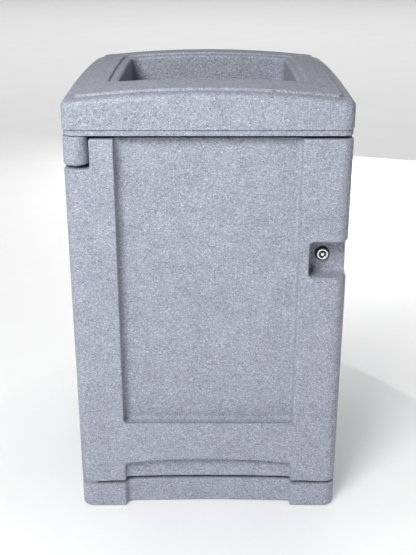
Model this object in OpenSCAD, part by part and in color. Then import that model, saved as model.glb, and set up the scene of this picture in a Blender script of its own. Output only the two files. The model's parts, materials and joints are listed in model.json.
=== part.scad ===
// Square litter receptacle: a moulded cabinet with a full-width front door,
// a crowned bonnet lid with a square throw-in throat, and a rigid liner inside.
// Millimetres, +Z up, front towards -Y, origin on the floor under the middle.

/* [Overall] */
// Width of the cabinet, the door and the lid
body_w = 573; // [500:1:700]
// Depth from the door's front face to the back wall
body_d = 640; // [560:1:780]
// Height from the floor to the lid's seat
cabinet_h = 855; // [700:1:1050]
// Wall thickness of the moulded shells
wall = 6; // [4:0.5:7]
// Radius of the upright outer corners, and of the hinge ear that shares the front left one
corner_r = 25; // [21:0.5:32]

/* [Plinth] */
// Height of the feet and of the cabinet floor
foot_h = 58; // [50:1:80]
// Width of each front foot, and of the door's columns over them
foot_w = 101; // [95:1:140]
// Set-back of the kick face beside the feet
kick_end_depth = 17; // [10:0.5:20]
// Set-back of the kick face in the middle
kick_mid_depth = 22; // [18:0.5:30]
// Distance of the floor anchor holes from the stiffening panels beside them
anchor_inset = 15.5; // [14:0.5:24]
// Fore-and-aft distance of the floor anchor holes from the middle
anchor_y = 200; // [120:1:230]
// Diameter of the floor anchor holes
anchor_hole_d = 13; // [8:0.5:14]

/* [Cabinet] */
// Width of the frame's upright flanges round the door opening
frame_flange = 24.5; // [20:0.5:32]
// Height of the beam over the door opening
frame_beam = 45; // [30:1:80]
// Width of the inward flange that the lid sits on
seat_flange = 50; // [44:1:60]
// Depth of the shallow stiffening panels in the sides and back
panel_depth = 8; // [3:0.5:10]
// Distance of those panels from the cabinet's edges
panel_margin = 52; // [40:1:80]
// Corner radius of those panels
panel_r = 20; // [8:1:40]

/* [Door] */
// Thickness of the door from its front face to its back edge
door_t = 60; // [58:0.5:76]
// Gap between the door's back edge and the cabinet's frame
door_seat_gap = 4; // [2:0.5:6]
// Gap between the feet and the door
door_gap_bottom = 6; // [3:0.5:10]
// Gap between the door and the lid
door_gap_top = 6.5; // [3:0.5:10]
// Depth of the tall recess
recess_depth = 25; // [16:0.5:28]
// Corner radius of the recess, the arch and the lock pocket
recess_r = 10; // [4:0.5:16]
// Width of the slot for a slide-in sign panel, round the recess
slot_w = 4; // [3:0.5:6]
// Depth of that slot
slot_depth = 8; // [3:0.5:8]
// Set-back of that slot from the door's front face
slot_setback = 5; // [4:0.5:8]
// Height of the recess sill over the door's bottom edge
recess_sill = 151; // [130:1:240]
// Rise of the kick arch over the door's bottom edge at its two ends
arch_end_rise = 48; // [30:0.5:56]
// Rise of the kick arch over the door's bottom edge in the middle
arch_mid_rise = 59.5; // [58:0.5:80]
// Width of the lower soles at the two ends of the door's bottom edge
sole_w = 61; // [40:1:90]
// Drop of those soles below the middle of the edge
sole_drop = 2; // [0.5:0.5:3]

/* [Hinge] */
// Height of the hinge ear at the top left corner
ear_h = 57.5; // [45:0.5:70]
// Gap between the ear and the lid
ear_gap_top = 1.5; // [0.5:0.5:4]
// Gap between the ear and the door's shoulder under it
ear_gap_bottom = 7.5; // [3:0.5:12]
// Gap between the ear and the door beside it
ear_gap_side = 3; // [2:0.5:5]
// Diameter of the hinge pins
pin_d = 12; // [8:0.5:14]
// Diameter of the pins' heads
pin_head_d = 20; // [16:0.5:24]
// Thickness of the pins' heads
pin_head_t = 4; // [3:0.5:6]
// Wall of the nylon bushings
bushing_wall = 2.5; // [1.5:0.5:3]
// Length of the nylon bushings
bushing_l = 42; // [25:1:48]
// Thickness of the closed end of the door's bosses, past the bushings
boss_end = 8; // [3:0.5:12]
// Gap between the end of each hinge pin and the closed end of its boss
pin_end_gap = 2; // [0.5:0.5:3]
// Wall of the door's bosses round the bushings
boss_wall = 9; // [6:0.5:10]
// Outer diameter of the thrust washer under the door
thrust_d = 36; // [28:1:44]

/* [Lock] */
// Distance of the lock's axis from the door's side
lock_inset = 48.5; // [42:0.5:52]
// Height of the lock's axis over the door's bottom edge
lock_h = 534.5; // [400:0.5:560]
// Width of the lock pocket, which is open to the door's side
pocket_w = 79.5; // [76:0.5:82]
// Height of the lock pocket
pocket_h = 77; // [60:1:90]
// Depth of the lock pocket
pocket_depth = 46; // [38:0.5:48]
// Height of the lock's axis over the pocket's floor
lock_rise = 38.5; // [30:0.5:45]
// Diameter of the lock's ring
ring_d = 24; // [22:0.5:28]
// Thickness of the lock's ring
ring_t = 6; // [2:0.5:8]
// Diameter of the lock's barrel
barrel_d = 19; // [18:0.5:20]
// Diameter of the black washer behind the ring
lock_washer_d = 31; // [28:0.5:36]
// Thickness of the black washer
lock_washer_t = 2.5; // [1:0.5:4]
// Diameter of the turning plug
plug_d = 16; // [15:0.1:16.4]
// Outer diameter of the ring-shaped keyway
keyway_d = 14.6; // [13:0.1:14.8]
// Inner diameter of the ring-shaped keyway
keyway_post_d = 8.6; // [7:0.1:10]
// Depth of the ring-shaped keyway
keyway_depth = 7; // [4:0.5:9]
// Reach of the cam from the lock's axis
cam_reach = 36; // [34:0.5:38]
// Width of the cam
cam_w = 14; // [13:0.5:16]
// Thickness of the cam
cam_t = 2.5; // [2:0.1:4]
// Thickness of the strike plate that the cam turns behind
strike_t = 3; // [2:0.5:4]
// Width of the strike plate
strike_w = 16; // [14:0.5:18]
// Height of the strike plate
strike_h = 90; // [80:1:110]

/* [Lid] */
// Height of the crown's summit over the lid's seat
lid_h = 98; // [80:0.5:120]
// Rise of the crown from the sides to the middle
crown_x = 17.5; // [8:0.5:24]
// Rise of the crown from the front and the back to the middle
crown_y = 10; // [4:0.5:16]
// Height of the recessed band along the lid's bottom edge
band_h = 11.5; // [6:0.5:20]
// Set-back of that band
band_inset = 1.8; // [1:0.1:3]
// Distance of the raised panel from the lid's edge
raise_inset = 25; // [16:0.5:32]
// Height of the raised panel
raise_h = 5.5; // [3:0.5:8]
// Corner radius of the raised panel
raise_r = 14; // [8:0.5:24]
// Width of the square throat
throat_w = 368; // [280:1:372]
// Corner radius inside the throat
throat_r = 25; // [15:0.5:40]
// Width of the lowered lip round the throat
lip_w = 20; // [12:0.5:26]
// Drop of that lip under the raised panel
lip_drop = 5; // [2:0.5:7]
// Distance that the throat reaches below the lid's seat
throat_drop = 20; // [10:1:40]
// Diameter of the bosses that take the lid's bolts
lid_boss_d = 26; // [22:0.5:30]

/* [Liner] */
// Gap between the liner's rim and each side of the door opening
liner_side_gap = 12; // [4:0.5:30]
// Gap between the liner's rim and the frame in front, and the back wall behind
liner_end_gap = 33; // [4:0.5:40]
// Gap between the liner's rim and the throat's lower edge
liner_head_gap = 46.7; // [20:0.1:120]
// Wall thickness of the liner
liner_wall = 4; // [3:0.5:5]
// Upright corner radius of the liner
liner_r = 40; // [24:1:60]
// Width of the liner's turned-out rim
rim_w = 10; // [6:0.5:14]
// Height of the liner's turned-out rim
rim_h = 12; // [8:0.5:20]
// Width of the liner's two hand holes
hand_w = 120; // [100:1:140]
// Height of the liner's two hand holes
hand_h = 34; // [28:1:40]

/* [Fits] */
// Radial clearance where one piece turns in another
run_fit = 0.05; // [0.02:0.01:0.1]
// Radial clearance where one piece is pressed or screwed into another
press_fit = 0.02; // [0.01:0.01:0.05]
// Clearance between pieces that only stand next to each other
rest_gap = 0.3; // [0.1:0.1:0.6]

/* [Hidden] */
$fn = 64;
huge = 4000;   // longer than any piece, for cutting half-spaces
poke = 1;      // how far a cutter runs past the face that it opens

// planes and levels
half_w = body_w / 2;
front_y = -body_d / 2;
back_y = body_d / 2;
frame_y = front_y + door_t + door_seat_gap;
frame_back_y = frame_y + wall;
ear_top = cabinet_h - ear_gap_top;
ear_bottom = ear_top - ear_h;
door_bottom = foot_h + door_gap_bottom;
door_top = cabinet_h - door_gap_top;
shoulder_z = ear_bottom - ear_gap_bottom;
floor_z = foot_h;
opening_half_w = half_w - frame_flange;
recess_w = body_w - 2 * foot_w;   // width of the tall recess and of the kick arches
anchor_x = half_w - wall - panel_depth - anchor_inset;
column_wall = 7;                  // wall of the columns round the floor anchor holes

// hinge axis, on the centre of the front left corner
pivot_x = -(half_w - corner_r);
pivot_y = front_y + corner_r;
pin_r = pin_d / 2;
bushing_r = pin_r + run_fit + bushing_wall;
boss_r = bushing_r + press_fit + boss_wall;
seat_l = bushing_l + pin_end_gap;
boss_l = seat_l + boss_end;
heel_r = door_t - corner_r - 1;   // the door's back left corner turns inside this radius
pin_anchor = 44;                  // length of the lower pin inside the foot

// lock stations along Y, from the pocket's back face to the cam
lock_x = half_w - lock_inset;
lock_z = door_bottom + lock_h;
pocket_z = lock_z - lock_rise;
pocket_y = front_y + pocket_depth;
ring_y = pocket_y - lock_washer_t;
cam_y = frame_back_y + strike_t + 0.5;
barrel_end_y = cam_y - rest_gap;
barrel_r = barrel_d / 2;
plug_r = plug_d / 2;
cam_square = 8;                   // side of the plug's square tail
cam_screw_d = 5;
cam_screw_l = 10;                 // length of its thread inside the plug
cam_washer_d = 12;
cam_washer_t = 1;
backing = [50, 60, 2];            // width, height and thickness of the backing plate
nut_flats = 24;
nut_t = 5;

// lid
crown_rx = (half_w * half_w + crown_x * crown_x) / (2 * crown_x);
crown_ry = (back_y * back_y + crown_y * crown_y) / (2 * crown_y);
bolt_x = half_w - 0.61 * seat_flange;   // outside the middle of the flange, clear of the liner
bolt_front_y = frame_y + seat_flange / 2;
bolt_back_y = back_y - 0.56 * seat_flange;
bolt_d = 8;
bolt_head = [13, 5.3];            // width across flats and height
bolt_grip = 14;                   // length of thread inside each insert
insert_d = 11;
washer_t = 1.6;
stem_d = 5;                       // stems of the bumpers and shanks of the strike screws
bumper_d = 12;
bumper_inset = 1;                 // distance of the bumpers from the outer face
bumper_heights = [door_bottom + 90, door_top - 70];
strike_head = [9, 3];             // diameter and height of the strike screws' heads
strike_over = 15;                 // how far the strike plate reaches above the lock's axis
strike_screw_drops = [30, 60];    // the screws' distances below the lock's axis, clear of the cam

// liner, midway between the door frame and the back panel, clear of the opening and the throat
room_back_y = back_y - wall - panel_depth;
liner_y = (frame_back_y + room_back_y) / 2;
liner_z = floor_z + rest_gap;
liner_w = 2 * (opening_half_w - liner_side_gap - rim_w);
liner_d = room_back_y - frame_back_y - 2 * (liner_end_gap + rim_w);
liner_h = cabinet_h - throat_drop - liner_head_gap - liner_z;
hand_drop = 20;                   // distance of the hand holes below the rim

STONE = [0.66, 0.68, 0.73];
LINER_GREY = [0.26, 0.27, 0.29];
STEEL = [0.70, 0.71, 0.73];
CHROME = [0.86, 0.87, 0.88];
BLACK = [0.05, 0.05, 0.055];
NYLON = [0.86, 0.85, 0.80];
BRASS = [0.76, 0.60, 0.28];

// A rectangle with rounded corners, centred
module rounded_rect(w, d, r) {
    square([w - 2 * r, d], center = true);
    square([w, d - 2 * r], center = true);
    for (sx = [-1, 1], sy = [-1, 1])
        translate([sx * (w / 2 - r), sy * (d / 2 - r)]) circle(r);
}

// The footprint shared by the plinth, cabinet, door and lid, drawn in by inset
module footprint(inset = 0) {
    rounded_rect(body_w - 2 * inset, body_d - 2 * inset, corner_r - inset);
}

// An upright block with that footprint between two heights and two depths
module footprint_block(z0, z1, y0, y1, inset = 0) {
    translate([0, 0, z0]) linear_extrude(z1 - z0) intersection() {
        footprint(inset);
        translate([-huge / 2, y0]) square([huge, y1 - y0]);
    }
}

// A box given by its low and high corners
module span_box(low, high) {
    translate(low) cube(high - low);
}

// Stands a drawing in the X-Z plane upright and pushes it from y0 to y1
module upright(y0, y1) {
    translate([0, y1, 0]) rotate([90, 0, 0]) linear_extrude(y1 - y0) children();
}

// A rod along Z
module rod(r, z0, z1) {
    translate([0, 0, z0]) cylinder(r = r, h = z1 - z0);
}

// A rod along Y from y0 to y1 on the lock's axis
module lock_rod(r, y0, y1, sides = 64) {
    translate([lock_x, y0, lock_z]) rotate([-90, 0, 0]) cylinder(r = r, h = y1 - y0, $fn = sides);
}

// A rod along Z on the hinge axis
module hinge_rod(r, z0, z1) {
    translate([pivot_x, pivot_y, 0]) rod(r, z0, z1);
}

// A ring along Z on the hinge axis
module hinge_ring(r_out, r_in, z0, z1) {
    difference() {
        hinge_rod(r_out, z0, z1);
        hinge_rod(r_in, z0 - poke, z1 + poke);
    }
}

// The kick recess in front of the shallow concave kick face, grown for the wall behind it
module kick_hollow(z0, z1, grow = 0) {
    sagitta = kick_mid_depth - kick_end_depth;
    kick_r = (recess_w * recess_w / 4 + sagitta * sagitta) / (2 * sagitta);
    intersection() {
        span_box([-recess_w / 2 - grow, front_y - poke, z0], [recess_w / 2 + grow, 0, z1]);
        translate([0, front_y + kick_mid_depth + grow - kick_r, z0])
            cylinder(r = kick_r, h = z1 - z0, $fn = 1440);
    }
}

// ---------------------------------------------------------------- cabinet

// Positions of the four floor anchors
module at_anchors() {
    for (sx = [-1, 1], sy = [-1, 1]) translate([sx * anchor_x, sy * anchor_y, 0]) children();
}

// Positions of the lid's four bolts
module at_lid_bolts() {
    for (sx = [-1, 1], y = [bolt_front_y, bolt_back_y]) translate([sx * bolt_x, y, 0]) children();
}

// Positions of the two bumpers on the frame, in front of the door's closing edge
module at_bumpers() {
    for (z = bumper_heights)
        translate([half_w - bumper_d / 2 - bumper_inset, frame_y, z]) rotate([90, 0, 0]) children();
}

// Positions of the strike plate's two screws, below the cam's sweep
module at_strike_screws() {
    for (dz = strike_screw_drops) translate([strike_x(), 0, lock_z - dz]) rotate([-90, 0, 0]) children();
}

function strike_x() = opening_half_w + rest_gap + strike_w / 2;

// Shallow stiffening panels of the sides and the back, grown for the wall inside them
module stiffening_panels(grow = 0) {
    z0 = floor_z + panel_margin;
    z1 = ear_bottom - panel_margin / 2;
    side_y = (frame_y + back_y) / 2;
    side_w = back_y - frame_y - 2 * panel_margin + 2 * grow;
    back_w = body_w - 2 * panel_margin + 2 * grow;
    h = z1 - z0 + 2 * grow;
    for (s = [-1, 1])
        translate([s * (half_w - panel_depth - grow) + (s < 0 ? -huge : 0), side_y, (z0 + z1) / 2])
            rotate([90, 0, 90]) linear_extrude(huge) rounded_rect(side_w, h, panel_r + grow);
    translate([0, 0, (z0 + z1) / 2])
        upright(back_y - panel_depth - grow, huge) rounded_rect(back_w, h, panel_r + grow);
}

module cabinet_shell() {
    column_r = anchor_hole_d / 2 + column_wall;
    color(STONE) difference() {
        union() {
            difference() {
                union() {
                    footprint_block(0, foot_h, front_y - poke, back_y + poke);
                    footprint_block(foot_h - poke, cabinet_h, frame_y, back_y + poke);
                }
                // room for the liner, with the wall drawn in behind the stiffening panels
                difference() {
                    footprint_block(floor_z, cabinet_h - wall, frame_back_y, back_y, wall);
                    stiffening_panels(wall);
                }
                // hollow underside
                difference() {
                    footprint_block(-poke, foot_h - wall, front_y, back_y, wall);
                    kick_hollow(-2 * poke, foot_h, wall);
                    at_anchors() rod(column_r, -2 * poke, foot_h);
                    hinge_rod(boss_r, floor_z - pin_anchor, foot_h);
                }
                stiffening_panels();
            }
            // hinge ear
            hinge_rod(corner_r, ear_bottom, ear_top);
            span_box([pivot_x - corner_r, pivot_y, ear_bottom],
                [pivot_x + corner_r, frame_back_y, ear_top]);
        }
        // door opening
        span_box([-opening_half_w, frame_y - poke, floor_z],
            [opening_half_w, frame_back_y + poke, cabinet_h - frame_beam]);
        // opening in the seat that the lid's throat hangs through
        span_box([-half_w + seat_flange, frame_y + seat_flange, cabinet_h - wall - poke],
            [half_w - seat_flange, back_y - seat_flange, cabinet_h + poke]);
        kick_hollow(-poke, foot_h + poke);
        at_anchors() rod(anchor_hole_d / 2, -poke, foot_h + poke);
        at_lid_bolts() rod(bolt_d / 2 + rest_gap, cabinet_h - wall - poke, cabinet_h + poke);
        at_bumpers() rod(stem_d / 2 + press_fit, -wall + rest_gap, poke);
        at_strike_screws() rod(stem_d / 2 + press_fit, frame_y - poke, frame_back_y + poke);
        // hinge pin bores and the seats of their heads
        hinge_rod(pin_r + press_fit, ear_bottom - poke, ear_top + poke);
        hinge_rod(pin_head_d / 2 + press_fit, ear_top - pin_head_t, ear_top + poke);
        hinge_rod(pin_r + press_fit, floor_z - pin_anchor - poke, foot_h + poke);
    }
}

module rigid_liner() {
    top = liner_z + liner_h;
    color(LINER_GREY) translate([0, liner_y, 0]) difference() {
        union() {
            translate([0, 0, liner_z]) linear_extrude(liner_h)
                rounded_rect(liner_w, liner_d, liner_r);
            translate([0, 0, top - rim_h]) linear_extrude(rim_h)
                rounded_rect(liner_w + 2 * rim_w, liner_d + 2 * rim_w, liner_r + rim_w);
        }
        translate([0, 0, liner_z + liner_wall]) linear_extrude(liner_h)
            rounded_rect(liner_w - 2 * liner_wall, liner_d - 2 * liner_wall, liner_r - liner_wall);
        // the rim is a turned-down lip, open underneath
        translate([0, 0, top - rim_h - poke]) linear_extrude(rim_h - liner_wall + poke) difference() {
            rounded_rect(liner_w + 2 * rim_w - 2 * liner_wall, liner_d + 2 * rim_w - 2 * liner_wall,
                liner_r + rim_w - liner_wall);
            rounded_rect(liner_w, liner_d, liner_r);
        }
        translate([0, 0, top - rim_h - hand_drop - hand_h / 2])
            upright(-liner_d, liner_d) rounded_rect(hand_w, hand_h, hand_h / 2 - 0.5);
    }
}

module door_bumpers() {
    color(BLACK) at_bumpers() {
        rod(bumper_d / 2, 0, door_seat_gap - rest_gap);
        rod(stem_d / 2, -wall + 2 * rest_gap, poke);
    }
}

module strike_plate() {
    color(STEEL) difference() {
        span_box([strike_x() - strike_w / 2, frame_back_y, lock_z + strike_over - strike_h],
            [strike_x() + strike_w / 2, frame_back_y + strike_t, lock_z + strike_over]);
        at_strike_screws() rod(stem_d / 2 + press_fit, frame_y - poke, frame_back_y + strike_t + poke);
    }
}

module strike_screws() {
    color(STEEL) at_strike_screws() {
        rod(stem_d / 2, frame_y + poke, frame_back_y + strike_t + poke);
        rod(strike_head[0] / 2, frame_back_y + strike_t, frame_back_y + strike_t + strike_head[1]);
    }
}

// ---------------------------------------------------------------- hinge

module upper_hinge_pin() {
    color(STEEL) {
        hinge_rod(pin_r, shoulder_z - bushing_l, ear_top);
        hinge_rod(pin_head_d / 2, ear_top - pin_head_t, ear_top);
    }
}

module lower_hinge_pin() {
    color(STEEL) {
        hinge_rod(pin_r, floor_z - pin_anchor - pin_head_t, door_bottom + bushing_l);
        hinge_rod(pin_head_d / 2, floor_z - pin_anchor - pin_head_t, floor_z - pin_anchor);
    }
}

module hinge_thrust_washer() {
    color(NYLON) hinge_ring(thrust_d / 2, pin_r + run_fit, foot_h, door_bottom - rest_gap / 3);
}

module upper_hinge_bushing() {
    color(NYLON) hinge_ring(bushing_r, pin_r + run_fit, shoulder_z - bushing_l, shoulder_z);
}

module lower_hinge_bushing() {
    color(NYLON) hinge_ring(bushing_r, pin_r + run_fit, door_bottom, door_bottom + bushing_l);
}

// ---------------------------------------------------------------- door

// The outline of the tall recess, which runs out through the door's top edge
module recess_outline(grow) {
    w = recess_w / 2 + grow;
    z0 = door_bottom + recess_sill - grow;
    r = recess_r + grow;
    translate([-w, z0 + r]) square([2 * w, huge]);
    translate([-w + r, z0]) square([2 * w - 2 * r, huge]);
    for (s = [-1, 1]) translate([s * (w - r), z0 + r]) circle(r);
}

// The recess with its slot for a slide-in panel, grown for the wall round them
module recess_hollow(grow = 0) {
    slot_y = front_y + slot_setback;
    upright(front_y - poke, front_y + recess_depth + grow) recess_outline(grow);
    upright(slot_y - grow, slot_y + slot_w + grow) recess_outline(slot_depth + grow);
}

// The kick arch: its outline on the door's face, open downwards
module arch_outline(grow) {
    sagitta = arch_mid_rise - arch_end_rise;
    arch_r = (recess_w * recess_w / 4 + sagitta * sagitta) / (2 * sagitta) + grow;
    top = door_bottom + arch_mid_rise + grow;
    intersection() {
        translate([-recess_w / 2 - grow, -poke]) square([recess_w + 2 * grow, top + 2 * poke]);
        translate([0, top - arch_r]) circle(arch_r, $fn = 720);
    }
}

module door_kick_hollow(grow = 0) {
    intersection() {
        upright(front_y - poke, 0) arch_outline(grow);
        kick_hollow(-poke, door_bottom + arch_mid_rise + 2 * grow + poke, grow);
    }
}

// The pocket round the lock, open to the door's side
module pocket_hollow(grow = 0) {
    x0 = half_w - pocket_w - grow;
    z0 = pocket_z - grow;
    z1 = pocket_z + pocket_h + grow;
    upright(front_y - poke, pocket_y + grow) {
        translate([x0, z0 + recess_r]) square([huge, z1 - z0 - 2 * recess_r]);
        translate([x0 + recess_r, z0]) square([huge, z1 - z0]);
        for (z = [z0 + recess_r, z1 - recess_r]) translate([x0 + recess_r, z]) circle(recess_r);
    }
}

// The corner that the hinge ear stands in
module ear_notch(grow = 0) {
    span_box([-huge / 2, -huge / 2, shoulder_z - grow],
        [pivot_x + corner_r + ear_gap_side + grow, huge / 2, huge / 2]);
}

// What the door's heel may fill as it turns past the frame
module heel_limit() {
    translate([pivot_x, front_y - poke, door_bottom - poke])
        cube([huge, door_t + 2 * poke, door_top - door_bottom + 2 * poke]);
    hinge_rod(heel_r, door_bottom - poke, door_top + poke);
}

module door_shell() {
    color(STONE) intersection() {
        heel_limit();
        difference() {
            footprint_block(door_bottom, door_top, front_y - poke, front_y + door_t);
            // the hollow behind the skin, open at the back
            difference() {
                footprint_block(door_bottom + sole_drop + wall, door_top - wall,
                    front_y, front_y + door_t + poke, wall);
                recess_hollow(wall);
                door_kick_hollow(wall);
                pocket_hollow(wall);
                ear_notch(wall);
                hinge_rod(boss_r, door_bottom, door_bottom + boss_l);
                hinge_rod(boss_r, shoulder_z - boss_l, shoulder_z);
            }
            recess_hollow();
            door_kick_hollow();
            pocket_hollow();
            ear_notch();
            // the middle of the bottom edge is cut a little higher than the soles
            span_box([-half_w + sole_w, -huge / 2, door_bottom - poke],
                [half_w - sole_w, huge / 2, door_bottom + sole_drop]);
            hinge_rod(bushing_r + press_fit, door_bottom - poke, door_bottom + seat_l);
            hinge_rod(bushing_r + press_fit, shoulder_z - seat_l, shoulder_z + poke);
            lock_rod(barrel_r + press_fit, pocket_y - poke, pocket_y + wall + poke);
        }
    }
}

// ---------------------------------------------------------------- lock

module lock_face_washer() {
    color(BLACK) difference() {
        lock_rod(lock_washer_d / 2, ring_y, pocket_y);
        lock_rod(barrel_r + press_fit, ring_y - poke, pocket_y + poke);
    }
}

module lock_housing() {
    color(CHROME) difference() {
        union() {
            lock_rod(ring_d / 2, ring_y - ring_t, ring_y);
            lock_rod(barrel_r, ring_y - poke, barrel_end_y);
        }
        lock_rod(plug_r + run_fit, ring_y - ring_t - poke, barrel_end_y + poke);
    }
}

module lock_backing_plate() {
    y0 = pocket_y + wall;
    color(STEEL) difference() {
        span_box([lock_x - backing[0] / 2, y0, lock_z - backing[1] / 2],
            [lock_x + backing[0] / 2, y0 + backing[2], lock_z + backing[1] / 2]);
        lock_rod(barrel_r + press_fit, y0 - poke, y0 + backing[2] + poke);
    }
}

module lock_nut() {
    y0 = pocket_y + wall + backing[2];
    color(STEEL) difference() {
        lock_rod(nut_flats / 2 / cos(30), y0, y0 + nut_t, 6);
        lock_rod(barrel_r + press_fit, y0 - poke, y0 + nut_t + poke);
    }
}

module lock_plug() {
    face_y = ring_y - ring_t + 0.5;   // the plug's face lies just inside the ring
    notch = [2.4, 2.5, 1.5];          // width and height of the key's stop notch, and its bite
    color(CHROME) difference() {
        union() {
            lock_rod(plug_r, face_y, barrel_end_y + rest_gap / 2);
            translate([lock_x - cam_square / 2, barrel_end_y, lock_z - cam_square / 2])
                cube([cam_square, cam_y + cam_t - barrel_end_y, cam_square]);
        }
        difference() {
            lock_rod(keyway_d / 2, face_y - poke, face_y + keyway_depth);
            lock_rod(keyway_post_d / 2, face_y - 2 * poke, face_y + keyway_depth + poke);
        }
        translate([lock_x - notch[0] / 2, face_y - poke, lock_z + keyway_post_d / 2 - notch[2]])
            cube([notch[0], keyway_depth + poke, notch[1]]);
        lock_rod(cam_screw_d / 2 + press_fit, barrel_end_y - cam_screw_l - 2, cam_y + cam_t + poke);
    }
}

module lock_cam() {
    slack = press_fit + 0.03;
    side = cam_square + 2 * slack;
    color(STEEL) difference() {
        union() {
            lock_rod(cam_w / 2 + 2, cam_y, cam_y + cam_t);
            span_box([lock_x - cam_w / 2, cam_y, lock_z],
                [lock_x + cam_w / 2, cam_y + cam_t, lock_z + cam_reach]);
        }
        translate([lock_x - side / 2, cam_y - poke, lock_z - side / 2])
            cube([side, cam_t + 2 * poke, side]);
    }
}

module cam_washer() {
    y0 = cam_y + cam_t;
    color(STEEL) difference() {
        lock_rod(cam_washer_d / 2, y0, y0 + cam_washer_t);
        lock_rod(cam_screw_d / 2 + press_fit, y0 - poke, y0 + cam_washer_t + poke);
    }
}

module cam_screw() {
    y0 = cam_y + cam_t + cam_washer_t;
    head_flats = 8;
    head_t = 3.5;
    color(STEEL) {
        lock_rod(cam_screw_d / 2, barrel_end_y - cam_screw_l, y0 + poke);
        lock_rod(head_flats / 2 / cos(30), y0, y0 + head_t, 6);
    }
}

// ---------------------------------------------------------------- lid

// A solid under the doubly crowned surface whose summit is at the height top
module crown(top) {
    spread = 2 * asin(back_y * 1.2 / crown_ry);
    translate([0, 0, top - crown_ry]) rotate([90, 0, 90]) rotate([0, 0, 90 - spread / 2])
        rotate_extrude(angle = spread, $fn = 1440) intersection() {
            translate([crown_ry - crown_rx, 0]) circle(crown_rx, $fn = 1440);
            translate([crown_ry - lid_h * 2, -half_w - 5]) square([lid_h * 2 + 5, body_w + 10]);
        }
}

// The part of the crown that stands over a rounded rectangle, from z0 up
module crown_over(top, z0, w, d, r) {
    intersection() {
        crown(top);
        translate([0, 0, z0]) linear_extrude(top - z0 + poke) rounded_rect(w, d, r);
    }
}

// What lies over the doubly crowned surface with its summit at the height top, over a rounded square
module over_crown(top, w, r) {
    difference() {
        translate([0, 0, cabinet_h]) linear_extrude(lid_h + 2 * poke) rounded_rect(w, w, r);
        crown(top);
    }
}

// The hollow under a crown, round the throat's tube, the skin of its lip and the bolt bosses
module lid_hollow(level, w, d, r) {
    difference() {
        crown_over(level, cabinet_h - poke, w, d, r);
        translate([0, 0, cabinet_h - 2 * poke]) linear_extrude(lid_h + 3 * poke)
            rounded_rect(throat_w + 2 * wall, throat_w + 2 * wall, throat_r + wall);
        over_crown(cabinet_h + lid_h - lip_drop - wall, throat_w + 2 * lip_w + 2 * wall, throat_r + wall);
        at_lid_bolts() rod(lid_boss_d / 2, cabinet_h - 2 * poke, level + 2 * poke);
    }
}

module lid_shell() {
    top = cabinet_h + lid_h;
    shelf = top - raise_h;
    raise_w = body_w - 2 * raise_inset;
    raise_d = body_d - 2 * raise_inset;
    inside = 2 * (wall + band_inset);
    lip_out = throat_w + 2 * lip_w;
    color(STONE) difference() {
        union() {
            crown_over(shelf, cabinet_h + band_h, body_w, body_d, corner_r);
            translate([0, 0, cabinet_h]) linear_extrude(band_h + poke) footprint(band_inset);
            crown_over(top, cabinet_h + band_h, raise_w, raise_d, raise_r);
            translate([0, 0, cabinet_h - throat_drop]) linear_extrude(throat_drop + band_h)
                rounded_rect(throat_w + 2 * wall, throat_w + 2 * wall, throat_r + wall);
        }
        // the hollow under the skin, first up to the shelf and then up into the raised panel
        lid_hollow(shelf - wall, body_w - inside, body_d - inside, corner_r - wall);
        lid_hollow(top - wall, raise_w - 2 * wall, raise_d - 2 * wall, raise_r - wall);
        // the lowered lip round the throat, and the throat itself
        over_crown(top - lip_drop, lip_out, throat_r);
        translate([0, 0, cabinet_h - throat_drop - poke]) linear_extrude(lid_h + throat_drop + 3 * poke)
            rounded_rect(throat_w, throat_w, throat_r);
        at_lid_bolts() rod(insert_d / 2 + press_fit, cabinet_h - poke, cabinet_h + bolt_grip + 2);
    }
}

module lid_inserts() {
    color(BRASS) at_lid_bolts() difference() {
        rod(insert_d / 2, cabinet_h, cabinet_h + bolt_grip);
        rod(bolt_d / 2 + press_fit, cabinet_h - poke, cabinet_h + bolt_grip + poke);
    }
}

module lid_washers() {
    z1 = cabinet_h - wall;
    color(STEEL) at_lid_bolts() difference() {
        rod(bolt_d, z1 - washer_t, z1);
        rod(bolt_d / 2 + rest_gap, z1 - washer_t - poke, z1 + poke);
    }
}

module lid_bolts() {
    z1 = cabinet_h - wall - washer_t;
    color(STEEL) at_lid_bolts() {
        rod(bolt_d / 2, z1 - poke, cabinet_h + bolt_grip - poke);
        translate([0, 0, z1 - bolt_head[1]])
            cylinder(r = bolt_head[0] / 2 / cos(30), h = bolt_head[1], $fn = 6);
    }
}

cabinet_shell();
lid_shell();
lid_inserts();
lid_bolts();
lid_washers();
rigid_liner();
upper_hinge_pin();
lower_hinge_pin();
hinge_thrust_washer();
door_bumpers();
strike_plate();
strike_screws();
door_shell();
upper_hinge_bushing();
lower_hinge_bushing();
lock_backing_plate();
lock_face_washer();
lock_housing();
lock_nut();
lock_plug();
lock_cam();
cam_washer();
cam_screw();
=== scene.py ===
"""Square moulded litter receptacle: the looks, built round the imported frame.

Every piece is a distance field in millimetres, with its own rounded edges, fillets and threads. It
is meshed on a grid that is fine only where there is detail, and written in metres in the frame.
"""
import json
import math

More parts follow.
